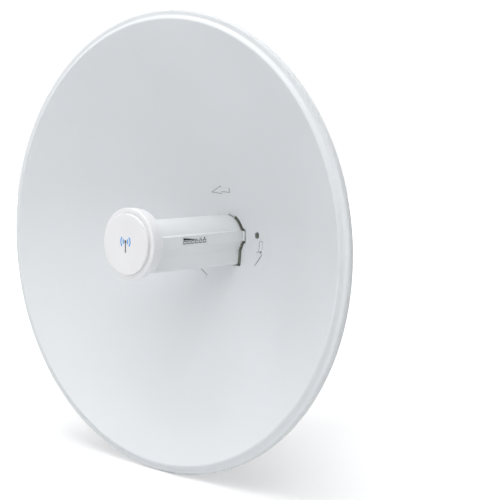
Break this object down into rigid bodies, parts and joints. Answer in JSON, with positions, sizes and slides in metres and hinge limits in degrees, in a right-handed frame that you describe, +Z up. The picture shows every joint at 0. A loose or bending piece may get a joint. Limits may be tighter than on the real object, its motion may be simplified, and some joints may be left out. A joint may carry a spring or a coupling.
{
  "type": "outdoor wireless bridge",
  "caption": "Round parabolic dish antenna with a plug-in radio feed on its axis, a twist-on hub behind it and a tilting clamp for a mast.",
  "frame": {"origin": "on the axis of the pole, level with the axis of the dish, midway between the two saddle plates", "axes": "+Z up along the pole, -Y is where the dish points, +X to the right for someone who stands in front of the dish and looks into it, which is the side of the feed with the status lights"},
  "size_m": [0.52, 0.3648, 0.52],
  "materials": {
    "dish_paint": "satin polyester powder coat",
    "white_plastic": "fine satin ABS/ASA",
    "cap_plastic": "fine satin ABS/ASA",
    "hub_plastic": "satin glass-filled plastic",
    "dark_plastic": "charcoal moulded plastic",
    "bracket_steel": "zinc-plated, satin",
    "fastener_steel": "stainless, machined",
    "spring_steel": "drawn wire",
    "aluminium": "turned and extruded",
    "rubber": "matt black",
    "grommet_rubber": "matt dark grey",
    "seal_rubber": "moulded, olive grey",
    "circuit_board": "solder mask",
    "tinned_steel": "tinned sheet",
    "component_black": "moulded package",
    "brass": "gold-flashed",
    "clear_plastic": "polished clear",
    "lens_plastic": "natural low-loss plastic",
    "panel_grey": "printed label film",
    "emblem_blue": "printed inlay",
    "emblem_black": "printed inlay",
    "pad_grey": "silicone gap pad"
  },
  "bodies": {
    "mount": {"pole_bracket": "bracket_steel", "clamp_bolts": "fastener_steel"},
    "clamp_jaw": {"pole_clamp_jaw": "bracket_steel", "clamp_nuts": "fastener_steel"},
    "reflector": {"dish_reflector": "dish_paint", "dish_lock_ring": "bracket_steel", "hub_housing": "hub_plastic", "feed_collar": "dark_plastic", "hub_rear_cover": "hub_plastic", "hub_gasket": "rubber", "cover_screws": "fastener_steel", "cable_grommet": "grommet_rubber", "detent_spring": "spring_steel", "latch_pins": "fastener_steel", "latch_spring_right": "spring_steel", "latch_spring_left": "spring_steel", "pivot_bolts": "fastener_steel", "pivot_washers": "fastener_steel", "tilt_lock_bolts": "fastener_steel", "tilt_lock_washers": "fastener_steel"},
    "detent": {"detent_pin": "dark_plastic"},
    "latch_right": {"release_latch_right": "white_plastic"},
    "latch_left": {"release_latch_left": "white_plastic"},
    "feed": {"feed_tube": "white_plastic", "feed_seal": "seal_rubber", "status_panel": "panel_grey", "light_pipes": "clear_plastic", "led_board": "circuit_board", "feed_end_cap": "white_plastic", "end_cap_screws": "fastener_steel", "reset_switch": "component_black", "radio_board": "circuit_board", "board_screws": "fastener_steel", "rf_shields": "tinned_steel", "board_components": "component_black", "ethernet_jack": "tinned_steel", "jack_contacts": "brass", "thermal_pad": "pad_grey", "heat_spreader": "aluminium", "waveguide": "aluminium", "waveguide_end": "aluminium", "antenna_probes": "brass", "cap_base_ring": "cap_plastic", "cap_seal": "rubber", "radome_cap": "cap_plastic", "cap_disc": "cap_plastic", "emblem_waves": "emblem_blue", "emblem_mast": "emblem_black", "sub_reflector": "aluminium", "feed_lens": "lens_plastic"},
    "reset": {"reset_button": "dark_plastic"}
  },
  "joints": [
    {"name": "elevation", "type": "hinge", "parent": "mount", "child": "reflector", "pos_m": [0, -0.084, 0], "axis": [-1, 0, 0], "range_deg": [-20, 20]},
    {"name": "clamp_close", "type": "slide", "parent": "mount", "child": "clamp_jaw", "axis": [0, 1, 0], "range_m": [-0.0128, 0.0062]},
    {"name": "feed_release", "type": "slide", "parent": "reflector", "child": "feed", "axis": [0, -1, 0], "range_m": [0, 0.06]},
    {"name": "latch_right_press", "type": "hinge", "parent": "reflector", "child": "latch_right", "pos_m": [0.0392, -0.123, 0], "axis": [0, 0, 1], "range_deg": [0, 7], "stiffness_Nm_per_rad": 1, "springref_deg": -2.86, "deforming": ["latch_spring_right"]},
    {"name": "latch_left_press", "type": "hinge", "parent": "reflector", "child": "latch_left", "pos_m": [-0.0392, -0.123, 0], "axis": [0, 0, -1], "range_deg": [0, 7], "stiffness_Nm_per_rad": 1, "springref_deg": -2.86, "deforming": ["latch_spring_left"]},
    {"name": "detent_press", "type": "slide", "parent": "reflector", "child": "detent", "axis": [0, 1, 0], "range_m": [0, 0.0025], "stiffness_N_per_m": 1500, "springref_m": -0.001, "deforming": ["detent_spring"]},
    {"name": "reset_press", "type": "slide", "parent": "feed", "child": "reset", "axis": [0, -1, 0], "range_m": [0, 0.0008], "stiffness_N_per_m": 2000, "springref_m": -0.0003}
  ]
}
